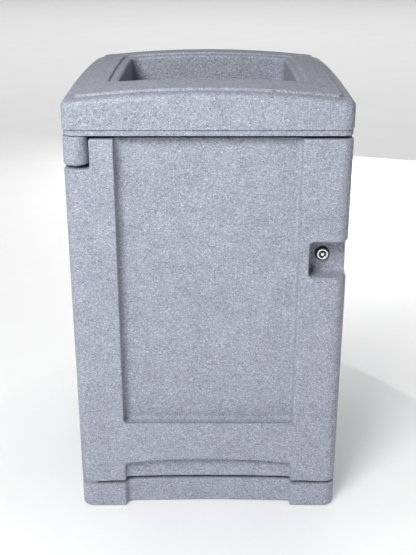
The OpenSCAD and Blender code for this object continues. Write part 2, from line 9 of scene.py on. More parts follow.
import bmesh
import bpy
import numpy as np
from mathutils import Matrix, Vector


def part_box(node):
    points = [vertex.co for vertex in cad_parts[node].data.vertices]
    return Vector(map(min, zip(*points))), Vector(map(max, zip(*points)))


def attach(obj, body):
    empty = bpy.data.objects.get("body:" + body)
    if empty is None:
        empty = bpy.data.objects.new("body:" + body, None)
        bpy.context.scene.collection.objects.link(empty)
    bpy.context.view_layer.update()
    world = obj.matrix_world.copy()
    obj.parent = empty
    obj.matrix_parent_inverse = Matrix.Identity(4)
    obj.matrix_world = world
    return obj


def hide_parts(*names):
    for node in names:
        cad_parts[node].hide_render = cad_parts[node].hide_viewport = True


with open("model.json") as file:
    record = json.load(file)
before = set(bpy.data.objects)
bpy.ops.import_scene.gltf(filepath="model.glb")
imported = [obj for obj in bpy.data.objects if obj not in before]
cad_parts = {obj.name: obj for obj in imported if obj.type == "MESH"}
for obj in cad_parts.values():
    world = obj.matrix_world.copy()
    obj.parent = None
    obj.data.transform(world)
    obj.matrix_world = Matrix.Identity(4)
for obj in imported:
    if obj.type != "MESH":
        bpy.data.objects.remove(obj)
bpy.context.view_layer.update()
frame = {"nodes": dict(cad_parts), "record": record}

MM = 0.001


def box_mm(node):
    """Lowest and highest corner of a CAD node, in millimetres."""
    lo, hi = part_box(node)
    return [round(v / MM, 3) for v in lo], [round(v / MM, 3) for v in hi]


# ------------------------------------------------------------------ sizes, in millimetres

CABINET_HI = box_mm("cabinet_shell")[1]
DOOR_LO, DOOR_HI = box_mm("door_shell")
LINER_LO, LINER_HI = box_mm("rigid_liner")
RING_HI = box_mm("lock_housing")[1]
JOINTS = {joint["name"]: joint for joint in frame["record"]["behaviour"]["joints"]}

HALF_W = CABINET_HI[0]
HALF_D = CABINET_HI[1]
FRONT = -HALF_D
SEAT = CABINET_HI[2]          # the cabinet's top, which the lid sits on
WALL = 6
CORNER_R = 25

# plinth and kick face
FOOT_H = 58
KICK_W = 371
KICK_END = 17
KICK_MID = 22
KICK_FILLET = 6

# cabinet above the plinth
FRAME_Y = DOOR_HI[1] + 4
FRAME_BACK = FRAME_Y + WALL
OPENING_HALF_W = HALF_W - 24.5
OPENING_TOP = SEAT - 45
SEAT_FLANGE = 50
PANEL_DEPTH = 8
PANEL_MARGIN = 52
PANEL_R = 20
PANEL_EDGE = 5
ANCHOR_X, ANCHOR_Y = 257, 200
ANCHORS = [(sx * ANCHOR_X, sy * ANCHOR_Y) for sx in (-1, 1) for sy in (-1, 1)]
ANCHOR_R = 6.5
COLUMN_R = 13.5

# hinge
PIVOT = [c / MM for c in JOINTS["door_hinge"]["pos_m"][:2]]
PIN_R = 6
PIN_HEAD_R = 10
PIN_HEAD_T = 4
PIN_ANCHOR = 44
BOSS_R = 17.6
BOSS_L = 52
BORE_L = 44   # the bosses' bores are closed past the bushings
BUSHING_R = 8.6
HEEL_R = 34
EAR_TOP = SEAT - 1.5
EAR_BOTTOM = EAR_TOP - 57.5

# door
DOOR_BOTTOM, DOOR_TOP = DOOR_LO[2], DOOR_HI[2]
DOOR_BACK = DOOR_HI[1]
DOOR_EDGE = 4.5
RECESS_HALF_W = KICK_W / 2
RECESS_DEPTH = 25
RECESS_R = 10
RECESS_FILLET = 9
RECESS_SILL = DOOR_BOTTOM + 151
SLOT_SETBACK = 5
SLOT_W = 4
SLOT_DEPTH = 8
ARCH_END = DOOR_BOTTOM + 48
ARCH_MID = DOOR_BOTTOM + 59.5
SOLE_W = 61
SOLE_DROP = 2
SHOULDER = box_mm("upper_hinge_bushing")[1][2]   # the step that the ear hangs over
NOTCH_X = PIVOT[0] + CORNER_R + 3

# lock, on its own axis
LOCK_X, LOCK_Z = (JOINTS["lock_turn"]["pos_m"][i] / MM for i in (0, 2))
BARREL_R = 9.5
POCKET_X = HALF_W - 79.5
POCKET_LOW = LOCK_Z - 38.5
POCKET_HIGH = POCKET_LOW + 77
POCKET_BACK = FRONT + 46

# lid
LID_TOP = SEAT + 98
CROWN_X, CROWN_Y = 17.5, 10
BAND_H = 11.5
BAND_INSET = 1.8
LINE_W, LINE_DEPTH = 1.4, 1.6   # the shadow line over the band
LID_EDGE = 12
RAISE_INSET = 25
RAISE_H = 5.5
RAISE_R = 14
THROAT_HALF_W = 184
THROAT_R = 25
THROAT_ROLL = 7
LIP_HALF_W = THROAT_HALF_W + 20
LIP_DROP = 5
THROAT_BOTTOM = SEAT - 20
BOLT_INSET = 30.5
BOLTS = [(sx * (HALF_W - BOLT_INSET), y) for sx in (-1, 1) for y in (FRAME_Y + 25, HALF_D - 28)]
BOLT_BOSS_R = 13
INSERT_R = 5.5

# liner
LINER_Y = (LINER_LO[1] + LINER_HI[1]) / 2
LINER_WALL = 4
LINER_R = 40
RIM_W = 10
RIM_H = 12
HAND_W, HAND_H = 120, 34


# ------------------------------------------------------------------ distance fields

def rect(u, v, half_u, half_v, r):
    """Distance to a rectangle with rounded corners, centred on the origin of the plane (u, v)."""
    a = np.abs(u) - (half_u - r)
    b = np.abs(v) - (half_v - r)
    return np.hypot(np.maximum(a, 0), np.maximum(b, 0)) + np.minimum(np.maximum(a, b), 0) - r


def span_rect(u, v, low, high, r):
    """Distance to a rectangle with rounded corners, given by its low and high corners."""
    mid = [(a + b) / 2 for a, b in zip(low, high)]
    half = [(b - a) / 2 for a, b in zip(low, high)]
    return rect(u - mid[0], v - mid[1], half[0], half[1], r)


def disc(u, v, centre, r):
    """Distance to a disc."""
    return np.hypot(u - centre[0], v - centre[1]) - r


def between(v, low, high):
    """Distance to the slab from low to high."""
    return np.maximum(low - v, v - high)


def both(a, b, r=0):
    """What lies in both shapes, with its new edge rounded to r."""
    if r == 0:
        return np.maximum(a, b)
    return np.minimum(np.maximum(a, b), -r) + np.hypot(np.maximum(a + r, 0), np.maximum(b + r, 0))


def either(a, b, r=0):
    """What lies in one shape or the other, with a fillet of r where they meet."""
    return -both(-a, -b, r)


def without(a, b, r=0):
    """The first shape less the second, with its new edge rounded to r."""
    return both(a, -b, r)


def ease(t):
    """A smooth step from 0 to 1."""
    t = np.clip(t, 0, 1)
    return t * t * (3 - 2 * t)


def footprint(x, y, inset=0):
    """The receptacle's outline on the floor."""
    return rect(x, y, HALF_W - inset, HALF_D - inset, CORNER_R - inset)


def kick_face(x):
    """The depth of the concave kick face behind the front."""
    return KICK_MID - (KICK_MID - KICK_END) * (x / RECESS_HALF_W) ** 2


def kick_hollow(x, y, grow=0):
    """The space in front of the kick face, between the two feet."""
    side = np.abs(x) - RECESS_HALF_W - grow
    return both(side, y - FRONT - kick_face(x) - grow, KICK_FILLET + grow)


# ------------------------------------------------------------------ meshing

def stations(low, high, fine_spans, fine, coarse):
    """Grid lines along one axis: coarse steps, with fine ones in the spans (low, high) that need
    them. A span may give a step of its own as its third number."""
    marks = {low, high}
    for span in fine_spans:
        marks |= {max(span[0], low), min(span[1], high)}
    marks = sorted(marks)
    lines = []
    for a, b in zip(marks[:-1], marks[1:]):
        around = [span for span in fine_spans if span[0] <= (a + b) / 2 <= span[1]]
        step = min([span[2] if len(span) > 2 else fine for span in around], default=coarse)
        lines.append(np.linspace(a, b, max(1, math.ceil((b - a) / step)) + 1)[:-1])
    return np.append(np.concatenate(lines), high)


def mirrored(spans):
    """The spans and their mirror images."""
    return spans + [(-span[1], -span[0], *span[2:]) for span in spans]


def surface_net(field, axes):
    """Points and quads of the field's zero surface, one point in each grid cell that it crosses."""
    x, y, z = axes
    values = field(x[:, None, None], y[None, :, None], z[None, None, :])
    values = np.broadcast_to(values, tuple(len(a) for a in axes)).astype(np.float32)
    inside = values < 0
    shape = tuple(len(a) - 1 for a in axes)
    corners = [(i, j, k) for i in (0, 1) for j in (0, 1) for k in (0, 1)]

    def window(array, corner):
        return array[tuple(slice(c, c + n) for c, n in zip(corner, shape))]

    count = sum(window(inside, corner).astype(np.int8) for corner in corners)
    cells = np.argwhere((count > 0) & (count < len(corners)))
    number = np.full(shape, -1, np.int32)
    number[tuple(cells.T)] = np.arange(len(cells))

    # each cell's point starts as the mean of the places where the surface crosses its edges
    total = np.zeros((len(cells), 3))
    crossings = np.zeros(len(cells))
    for corner in corners:
        for axis in range(3):
            if corner[axis]:
                continue
            a = cells + corner
            b = a.copy()
            b[:, axis] += 1
            va, vb = values[tuple(a.T)], values[tuple(b.T)]
            hit = (va < 0) != (vb < 0)
            share = np.where(hit, va / np.where(hit, va - vb, 1), 0)[:, None]
            pa = np.stack([axes[i][a[:, i]] for i in range(3)], 1)
            pb = np.stack([axes[i][b[:, i]] for i in range(3)], 1)
            total += np.where(hit[:, None], pa + (pb - pa) * share, 0)
            crossings += hit
    points = total / crossings[:, None]
    low = np.stack([axes[i][cells[:, i]] for i in range(3)], 1)
    high = np.stack([axes[i][cells[:, i] + 1] for i in range(3)], 1)

    quads = []
    for axis in range(3):
        u, v = (axis + 1) % 3, (axis + 2) % 3
        first = np.take(inside, range(inside.shape[axis] - 1), axis)
        second = np.take(inside, range(1, inside.shape[axis]), axis)
        edges = np.argwhere(first != second)
        ring = []
        for du, dv in ((1, 1), (0, 1), (0, 0), (1, 0)):
            cell = edges.copy()
            cell[:, u] -= du
            cell[:, v] -= dv
            ring.append(number[tuple(cell.T)])
        quad = np.stack(ring, 1)
        outward = first[tuple(edges.T)]
        quads.append(np.where(outward[:, None], quad, quad[:, ::-1]))
    return points, low, high, np.concatenate(quads)


def gradient(field, points, step=0.05):
    """The field's slope at each point, by central differences."""
    slopes = []
    for axis in range(3):
        shift = np.zeros(3)
        shift[axis] = step
        slopes.append(field(*(points + shift).T) - field(*(points - shift).T))
    return np.stack(slopes, 1) / (2 * step)


def mesh_object(name, points, quads, normals):
    """A smooth mesh in metres, with a normal given for each point."""
    mesh = bpy.data.meshes.new(name)
    mesh.from_pydata((points * MM).tolist(), [], quads.tolist())
    mesh.validate()
    mesh.polygons.foreach_set("use_smooth", [True] * len(mesh.polygons))
    mesh.normals_split_custom_set_from_vertices(normals.tolist())
    mesh.update()
    obj = bpy.data.objects.new(name, mesh)
    bpy.context.scene.collection.objects.link(obj)
    return obj


def moulding(name, field, axes, offsets=((0, 0, 0),)):
    """A piece meshed from its distance field, with every point and normal taken from the field,
    and repeated at each offset."""
    points, low, high, quads = surface_net(field, axes)
    for _ in range(4):
        slope = gradient(field, points)
        size = np.maximum((slope ** 2).sum(1), 0.05)
        points = points - slope * (field(*points.T) / size)[:, None]
        points = np.clip(points, low, high)
    normals = gradient(field, points)
    normals /= np.maximum(np.linalg.norm(normals, axis=1), 1e-6)[:, None]
    count = len(points)
    points = np.concatenate([points + np.array(offset) for offset in offsets])
    quads = np.concatenate([quads + count * i for i in range(len(offsets))])
    print(f"{name}: {len(quads)} quads")
    return mesh_object(name, points, quads, np.tile(normals, (len(offsets), 1)))


# ------------------------------------------------------------------ the moulded shells

def door_form(x, y, z):
    """The door's closed outer form, before it is hollowed from the back."""
    on_sole = ease((np.abs(x) - HALF_W + SOLE_W) / 3 + 0.5)
    bottom = DOOR_BOTTOM + SOLE_DROP * (1 - on_sole)
    form = both(footprint(x, y), between(z, bottom, DOOR_TOP), DOOR_EDGE)
    far = 2 * DOOR_TOP
    outline = span_rect(x, z, (-RECESS_HALF_W, RECESS_SILL), (RECESS_HALF_W, far), RECESS_R)
    recess = both(outline, y - FRONT - RECESS_DEPTH, RECESS_FILLET)
    slot_low = FRONT + SLOT_SETBACK
    slot = both(outline - SLOT_DEPTH, between(y, slot_low, slot_low + SLOT_W), 0.5)
    form = without(form, recess, 3)
    form = without(form, slot, 0.5)
    arch = ARCH_MID - (ARCH_MID - ARCH_END) * (x / RECESS_HALF_W) ** 2
    kick = both(np.abs(x) - RECESS_HALF_W, z - arch, RECESS_R)
    kick = both(kick, y - FRONT - kick_face(x), KICK_FILLET)
    form = without(form, kick, 4)
    outline = span_rect(x, z, (POCKET_X, POCKET_LOW), (2 * HALF_W, POCKET_HIGH), RECESS_R)
    form = without(form, both(outline, y - POCKET_BACK, 8), 4)
    notch = both(x - NOTCH_X, SHOULDER - z, 5)
    return without(form, notch, 4)


def door_field(x, y, z):
    """The door: its walls, the bosses and bores of its hinge, and the lock's hole."""
    form = door_form(x, y, z)
    shell = both(form, -form - WALL)
    column = disc(x, y, PIVOT, BOSS_R)
    bosses = np.minimum(both(column, between(z, DOOR_BOTTOM + 0.5, DOOR_BOTTOM + BOSS_L), 1.5),
                        both(column, between(z, SHOULDER - BOSS_L, SHOULDER - 0.5), 1.5))
    shell = either(shell, bosses, 2)
    bores = both(disc(x, y, PIVOT, BUSHING_R), -between(z, DOOR_BOTTOM + BORE_L, SHOULDER - BORE_L))
    shell = without(shell, bores, 0.6)
    shell = without(shell, disc(x, z, (LOCK_X, LOCK_Z), BARREL_R), 0.6)
    shell = both(shell, either(PIVOT[0] - x, disc(x, y, PIVOT, HEEL_R)), 1)
    return both(shell, y - DOOR_BACK, 1.5)


def door_axes():
    """The door's grid, fine where an edge, the slot, a boss or the pocket runs."""
    side, slot = RECESS_HALF_W - 8, FRONT + SLOT_SETBACK
    x = stations(-HALF_W - 2, HALF_W + 2, mirrored([
        (side, HALF_W + 2), (RECESS_HALF_W - 1, RECESS_HALF_W + SLOT_DEPTH + 1, 1)]), 1.7, 10)
    y = stations(FRONT - 2, DOOR_BACK + 2, [
        (FRONT - 2, DOOR_BACK + 2), (slot - 1, slot + SLOT_W + 1, 0.7)], 1.7, 10)
    z = stations(DOOR_BOTTOM - 2, DOOR_TOP + 2, [
        (DOOR_BOTTOM - 2, DOOR_BOTTOM + 12), (ARCH_END - 12, ARCH_MID + 9),
        (RECESS_SILL - SLOT_DEPTH - 8, RECESS_SILL + 14),
        (RECESS_SILL - SLOT_DEPTH - 1, RECESS_SILL + 1, 1), (POCKET_LOW - 10, POCKET_LOW + 14),
        (LOCK_Z - 12, LOCK_Z + 12), (POCKET_HIGH - 14, POCKET_HIGH + 10),
        (SHOULDER - BOSS_L - 3, SHOULDER - BORE_L + 2), (SHOULDER - 12, SHOULDER + 9),
        (DOOR_TOP - 9, DOOR_TOP + 2)], 1.7, 10)
    return x, y, z


def stiffening_panels(x, y, z, grow=0):
    """The shallow panels in the cabinet's sides and back."""
    low, high = FOOT_H + PANEL_MARGIN - grow, EAR_BOTTOM - PANEL_MARGIN / 2 + grow
    r = PANEL_R + grow
    side = span_rect(y, z, (FRAME_Y + PANEL_MARGIN - grow, low), (HALF_D - PANEL_MARGIN + grow, high), r)
    side = both(side, HALF_W - PANEL_DEPTH - grow - np.abs(x), PANEL_EDGE + grow)
    back = span_rect(x, z, (PANEL_MARGIN - HALF_W - grow, low), (HALF_W - PANEL_MARGIN + grow, high), r)
    back = both(back, HALF_D - PANEL_DEPTH - grow - y, PANEL_EDGE + grow)
    return np.minimum(side, back)


def cabinet_field(x, y, z):
    """The cabinet with its plinth, feet, door frame and hinge ear."""
    form = both(footprint(x, y), between(z, 0, SEAT), 3.5)
    form = without(form, kick_hollow(x, y), 4)
    form = without(form, stiffening_panels(x, y, z), 4)
    # the door's space, the opening and the room behind it are one hollow over the floor
    opening = span_rect(x, z, (-OPENING_HALF_W, -SEAT), (OPENING_HALF_W, OPENING_TOP), 12)
    opening = both(opening, y - FRAME_BACK - 1)
    room = both(footprint(x, y, WALL), FRAME_BACK - y, 3)
    room = both(room, z - SEAT + WALL, 4)
    room = without(room, stiffening_panels(x, y, z, WALL), 3)
    hollow = either(either(y - FRAME_Y, opening, 2), room)
    solid = without(form, both(hollow, FOOT_H - z, 5), 4)
    seat = span_rect(x, y, (SEAT_FLANGE - HALF_W, FRAME_Y + SEAT_FLANGE),
                     (HALF_W - SEAT_FLANGE, HALF_D - SEAT_FLANGE), 14)
    solid = without(solid, both(seat, SEAT - 2 * WALL - z), 1.5)
    # the hollow underside, round the kick wall, the anchor columns and the pin's column
    under = both(footprint(x, y, WALL), z - FOOT_H + WALL, 5)
    under = without(under, kick_hollow(x, y, WALL), 3)
    for anchor in ANCHORS:
        under = without(under, disc(x, y, anchor, COLUMN_R), 3)
    under = without(under, both(disc(x, y, PIVOT, BOSS_R), FOOT_H - PIN_ANCHOR - z, 2), 3)
    solid = without(solid, under, 1.5)
    ear = span_rect(x, y, (PIVOT[0] - CORNER_R, PIVOT[1] - CORNER_R),
                    (PIVOT[0] + CORNER_R, FRAME_BACK + CORNER_R), CORNER_R)
    ear = both(both(ear, y - FRAME_BACK), between(z, EAR_BOTTOM, EAR_TOP), 3)
    solid = both(either(solid, ear, 3), footprint(x, y))
    for anchor in ANCHORS:
        solid = without(solid, disc(x, y, anchor, ANCHOR_R), 1)
    for bolt in BOLTS:
        solid = without(solid, both(disc(x, y, bolt, 4.3), SEAT - 2 * WALL - z), 0.5)
    bore = both(disc(x, y, PIVOT, PIN_R), -between(z, FOOT_H + 1, EAR_BOTTOM - 1))
    head_seat = both(disc(x, y, PIVOT, PIN_HEAD_R), EAR_TOP - PIN_HEAD_T - z)
    return without(solid, either(bore, head_seat), 0.6)


def cabinet_axes():
    """The cabinet's grid, fine at its edges, panels, columns and holes."""
    # the stiffening panels' edges, with the wall outside them and the corner arcs inside them
    out, arc = WALL + PANEL_EDGE, PANEL_R + 2
    side, back = FRAME_Y + PANEL_MARGIN, HALF_D - PANEL_MARGIN
    low, high = FOOT_H + PANEL_MARGIN, EAR_BOTTOM - PANEL_MARGIN / 2
    x = stations(-HALF_W - 3, HALF_W + 3, mirrored([
        (RECESS_HALF_W - 8, RECESS_HALF_W + 8), (HALF_W - PANEL_MARGIN - arc, HALF_W + 3)]), 2.8, 24)
    y = stations(FRONT - 3, HALF_D + 3, [
        (FRONT - 3, FRAME_BACK + 4), (FRAME_Y + 18, FRAME_Y + 32), (side - out, side + arc),
        (ANCHOR_Y - 14, ANCHOR_Y + 14), (back - arc, back + out), (HALF_D - 34, HALF_D + 3)], 2.8, 24)
    z = stations(-3, SEAT + 3, [
        (-3, FOOT_H + 9), (low - out, low + arc), (high - arc, high + out),
        (EAR_BOTTOM - 5, EAR_BOTTOM + 5), (OPENING_TOP - 14, OPENING_TOP + 4),
        (SEAT - 14, SEAT + 3)], 2.8, 24)
    return x, y, z


def crown(x, y, top):
    """The height of the doubly crowned surface whose summit is at top."""
    rx = (HALF_W ** 2 + CROWN_X ** 2) / (2 * CROWN_X)
    ry = (HALF_D ** 2 + CROWN_Y ** 2) / (2 * CROWN_Y)
    across = ry - rx + np.sqrt(rx * rx - x * x)
    return top - ry + np.sqrt(across * across - y * y)


def lid_field(x, y, z):
    """The crowned lid with its raised panel, lip, throat and band."""
    height = z - crown(x, y, LID_TOP)
    form = both(footprint(x, y), height + RAISE_H, LID_EDGE)
    raised = rect(x, y, HALF_W - RAISE_INSET, HALF_D - RAISE_INSET, RAISE_R)
    form = either(form, both(raised, height, 3), 2.5)
    lip = rect(x, y, LIP_HALF_W, LIP_HALF_W, THROAT_R)
    form = without(form, both(lip, -height - LIP_DROP, 2), 2.5)
    throat = rect(x, y, THROAT_HALF_W, THROAT_HALF_W, THROAT_R)
    form = without(form, throat, THROAT_ROLL)
    shell = both(form, -form - WALL)
    bosses = np.minimum.reduce([disc(x, y, bolt, BOLT_BOSS_R) for bolt in BOLTS])
    shell = either(shell, both(bosses, form), 2)
    # the stepped band along the bottom edge, and the throat's tube that reaches below it
    band = both(footprint(x, y, BAND_INSET), -footprint(x, y, BAND_INSET + WALL))
    band = both(band, between(z, SEAT, SEAT + BAND_H + WALL), 0.8)
    shell = either(both(shell, SEAT + BAND_H - z, 0.9), band)
    line = between(z, SEAT + BAND_H - LINE_W, SEAT + BAND_H)
    line = both(-footprint(x, y, BAND_INSET + LINE_DEPTH), line)
    shell = without(shell, line, 0.3)
    shell = either(shell, both(bosses, between(z, SEAT, SEAT + 2 * BAND_H)), 0)
    tube = both(throat - WALL, -throat)
    shell = either(shell, both(tube, between(z, THROAT_BOTTOM, SEAT + 3 * BAND_H), 2), 0)
    inserts = np.minimum.reduce([disc(x, y, bolt, INSERT_R) for bolt in BOLTS])
    return without(shell, both(inserts, z - SEAT - 16), 0.5)


def lid_axes():
    """The lid's grid, fine at its edges, lip and throat."""
    throat = (THROAT_HALF_W - THROAT_R - 3, LIP_HALF_W + 5)
    edge = RAISE_INSET + 5
    x = stations(-HALF_W - 2, HALF_W + 2, mirrored([throat, (HALF_W - edge - 14, HALF_W + 2)]), 1.8, 12)
    y = stations(-HALF_D - 2, HALF_D + 2, mirrored([throat, (HALF_D - edge - 14, HALF_D + 2)])
                 + [(FRAME_Y + 11, FRAME_Y + 39)], 1.8, 12)
    low = crown(HALF_W, HALF_D, LID_TOP)
    z = stations(THROAT_BOTTOM - 2, LID_TOP + 2, [
        (THROAT_BOTTOM - 2, THROAT_BOTTOM + 4), (SEAT - 2, SEAT + BAND_H + 9),
        (SEAT - 1, SEAT + 2, 0.8), (SEAT + BAND_H - 3, SEAT + BAND_H + 2, 0.5),
        (low - 22, LID_TOP + 2)], 1.8, 12)
    return x, y, z


def liner_field(x, y, z):
    """The liner's tub with its turned-down rim and two hand holes."""
    v = y - LINER_Y
    half_w, half_d = (LINER_HI[0] - LINER_LO[0]) / 2, (LINER_HI[1] - LINER_LO[1]) / 2
    low, top = LINER_LO[2], LINER_HI[2]

    def outline(inset):
        return rect(x, v, half_w - inset, half_d - inset, LINER_R + RIM_W - inset)

    form = both(outline(RIM_W), low - z, 14)
    shell = both(form, -form - LINER_WALL)
    rim = both(both(outline(0), top - RIM_H - z), -outline(RIM_W + LINER_WALL))
    groove = both(both(outline(LINER_WALL), z - top + LINER_WALL), -outline(RIM_W))
    rim = without(rim, groove, 1.5)
    shell = both(either(shell, rim, 0), z - top, 1.6)
    hand = top - RIM_H - 20
    holes = span_rect(x, z, (-HAND_W / 2, hand - HAND_H), (HAND_W / 2, hand), HAND_H / 2 - 1)
    return without(shell, holes, 1.6)


def liner_axes():
    """The liner's grid, fine at its rim, corners and hand holes."""
    top = LINER_HI[2]
    x = stations(LINER_LO[0] - 3, LINER_HI[0] + 3, mirrored([
        (LINER_HI[0] - 54, LINER_HI[0] + 3), (HAND_W / 2 - 18, HAND_W / 2 + 3)]), 2, 20)
    y = stations(LINER_LO[1] - 3, LINER_HI[1] + 3, [
        (LINER_LO[1] - 3, LINER_LO[1] + 54), (LINER_HI[1] - 54, LINER_HI[1] + 3)], 2, 20)
    z = stations(LINER_LO[2] - 3, top + 3, [
        (LINER_LO[2] - 3, LINER_LO[2] + 18), (top - RIM_H - HAND_H - 23, top + 3)], 2, 20)
    return x, y, z


# ------------------------------------------------------------------ materials

def node(tree, kind, **values):
    """A shader node with its properties or inputs set by name."""
    made = tree.nodes.new(kind)
    for key, value in values.items():
        if key in made.inputs:
            made.inputs[key].default_value = value
        else:
            setattr(made, key, value)
    return made


def new_material(name, roughness, metallic=0.0):
    """A material with its node tree and its shader."""
    material = bpy.data.materials.new(name)
    material.use_nodes = True
    tree = material.node_tree
    shader = tree.nodes["Principled BSDF"]
    shader.inputs["Roughness"].default_value = roughness
    shader.inputs["Metallic"].default_value = metallic
    return material, tree, shader


def ramp(tree, stops, source, constant=False):
    """A colour ramp through the stops (position, colour)."""
    made = tree.nodes.new("ShaderNodeValToRGB")
    made.color_ramp.interpolation = "CONSTANT" if constant else "LINEAR"
    elements = made.color_ramp.elements
    while len(elements) < len(stops):
        elements.new(1)
    for element, (position, colour) in zip(elements, stops):
        element.position = position
        element.color = (*colour, 1)
    tree.links.new(source, made.inputs[0])
    return made.outputs[0]


def mix(tree, factor, a, b):
    """A colour mix whose factor and ends are sockets or plain values."""
    made = tree.nodes.new("ShaderNodeMix")
    made.data_type = "RGBA"
    for value, socket in ((factor, made.inputs[0]), (a, made.inputs[6]), (b, made.inputs[7])):
        if isinstance(value, bpy.types.NodeSocket):
            tree.links.new(value, socket)
        elif isinstance(value, tuple):
            socket.default_value = (*value, 1)
        else:
            socket.default_value = value
    return made.outputs[2]


def grey(value):
    """A neutral colour."""
    return (value, value, value)


def add_bump(tree, shader, layers):
    """Chains bumps of (height socket, distance in metres) into the shader's normal."""
    previous = None
    for height, distance in layers:
        bump = node(tree, "ShaderNodeBump", Distance=distance)
        tree.links.new(height, bump.inputs["Height"])
        if previous:
            tree.links.new(previous, bump.inputs["Normal"])
        previous = bump.outputs[0]
    tree.links.new(previous, shader.inputs["Normal"])


def noise(tree, coords, scale, detail=2.0, roughness=0.5):
    """A noise value for each place."""
    made = node(tree, "ShaderNodeTexNoise", Scale=scale, Detail=detail, Roughness=roughness)
    tree.links.new(coords, made.inputs["Vector"])
    return made.outputs["Fac"]


def flecks(tree, coords, size, offset):
    """A random number for each fleck of about that size in metres."""
    shift = node(tree, "ShaderNodeMapping", Location=offset)
    tree.links.new(coords, shift.inputs["Vector"])
    cells = node(tree, "ShaderNodeTexVoronoi", Scale=1 / size)
    tree.links.new(shift.outputs[0], cells.inputs["Vector"])
    split = tree.nodes.new("ShaderNodeSeparateColor")
    tree.links.new(cells.outputs["Color"], split.inputs[0])
    return split.outputs[0]


STONE = (0.335, 0.357, 0.425)
STONE_LIGHT = (0.76, 0.79, 0.88)
STONE_DARK = (0.115, 0.128, 0.185)


def granite_material():
    """Rotomoulded plastic ground from several greys: soft-edged light and blue-dark flecks."""
    material, tree, shader = new_material("granite_plastic", 0.52)
    coords = tree.nodes.new("ShaderNodeTexCoord").outputs["Object"]
    # the flecks' outlines are bent a little, as melted granules are
    warp = node(tree, "ShaderNodeTexNoise", Scale=420.0, Detail=1.0)
    tree.links.new(coords, warp.inputs["Vector"])
    bent = node(tree, "ShaderNodeMapping")
    offset = node(tree, "ShaderNodeVectorMath", operation="MULTIPLY_ADD")
    tree.links.new(warp.outputs["Color"], offset.inputs[0])
    offset.inputs[1].default_value = (0.0016, 0.0016, 0.0016)
    tree.links.new(coords, offset.inputs[2])
    tree.links.new(offset.outputs[0], bent.inputs["Vector"])
    bent = bent.outputs[0]
    base = mix(tree, flecks(tree, bent, 0.0017, (0.3, 0.1, 0.7)),
               tuple(0.84 * c for c in STONE), tuple(1.16 * c for c in STONE))
    light = ramp(tree, [(0.0, grey(0)), (0.80, grey(0.25)), (0.93, grey(0.48))],
                 flecks(tree, bent, 0.0021, (0.5, 0.9, 0.2)), constant=True)
    dark = ramp(tree, [(0.0, grey(0)), (0.82, grey(0.35)), (0.94, grey(0.65))],
                flecks(tree, bent, 0.0023, (0.8, 0.4, 0.6)), constant=True)
    colour = mix(tree, light, base, STONE_LIGHT)
    colour = mix(tree, dark, colour, STONE_DARK)
    cloud = ramp(tree, [(0.3, grey(0.93)), (0.7, grey(1.05))], noise(tree, coords, 26.0, 3.0))
    shade = tree.nodes.new("ShaderNodeMix")
    shade.data_type, shade.blend_type = "RGBA", "MULTIPLY"
    shade.inputs[0].default_value = 1.0
    tree.links.new(colour, shade.inputs[6])
    tree.links.new(cloud, shade.inputs[7])
    tree.links.new(shade.outputs[2], shader.inputs["Base Color"])
    gloss = ramp(tree, [(0.35, grey(0.44)), (0.68, grey(0.60))], noise(tree, coords, 60.0, 3.0))
    tree.links.new(gloss, shader.inputs["Roughness"])
    shader.inputs["Specular IOR Level"].default_value = 0.42
    add_bump(tree, shader, [(noise(tree, coords, 9.0, 1.0), 0.0012),
                            (noise(tree, coords, 160.0, 2.0), 0.00022),
                            (noise(tree, coords, 700.0, 2.0), 0.00009)])
    return material


def liner_material():
    """Dark blow-moulded plastic with a fine grain and faint scuffs."""
    material, tree, shader = new_material("liner_plastic", 0.5)
    coords = tree.nodes.new("ShaderNodeTexCoord").outputs["Object"]
    streak = node(tree, "ShaderNodeMapping", Scale=(1.0, 1.0, 0.08))
    tree.links.new(coords, streak.inputs["Vector"])
    scuffs = noise(tree, streak.outputs[0], 240.0, 4.0, 0.7)
    colour = ramp(tree, [(0.35, (0.020, 0.021, 0.024)), (0.62, (0.032, 0.033, 0.036)),
                         (0.74, (0.075, 0.077, 0.080))], scuffs)
    tree.links.new(colour, shader.inputs["Base Color"])
    gloss = ramp(tree, [(0.4, grey(0.42)), (0.7, grey(0.62))], scuffs)
    tree.links.new(gloss, shader.inputs["Roughness"])
    add_bump(tree, shader, [(noise(tree, coords, 12.0, 1.0), 0.0015),
                            (noise(tree, coords, 900.0, 2.0), 0.00012)])
    return material


def metal_material(name, light, dark, roughness, grain, brushed=(1.0, 1.0, 1.0)):
    """Plated or machined metal: a mottled tint, an uneven gloss and a fine grain."""
    material, tree, shader = new_material(name, roughness, 1.0)
    coords = tree.nodes.new("ShaderNodeTexCoord").outputs["Object"]
    stretch = node(tree, "ShaderNodeMapping", Scale=brushed)
    tree.links.new(coords, stretch.inputs["Vector"])
    cloud = noise(tree, coords, 140.0, 4.0, 0.6)
    tree.links.new(ramp(tree, [(0.32, dark), (0.62, light)], cloud), shader.inputs["Base Color"])
    gloss = ramp(tree, [(0.3, grey(roughness * 0.75)), (0.7, grey(min(1.0, roughness * 1.35)))],
                 noise(tree, stretch.outputs[0], grain, 3.0))
    tree.links.new(gloss, shader.inputs["Roughness"])
    add_bump(tree, shader, [(noise(tree, stretch.outputs[0], grain * 2, 2.0), 0.00003)])
    return material


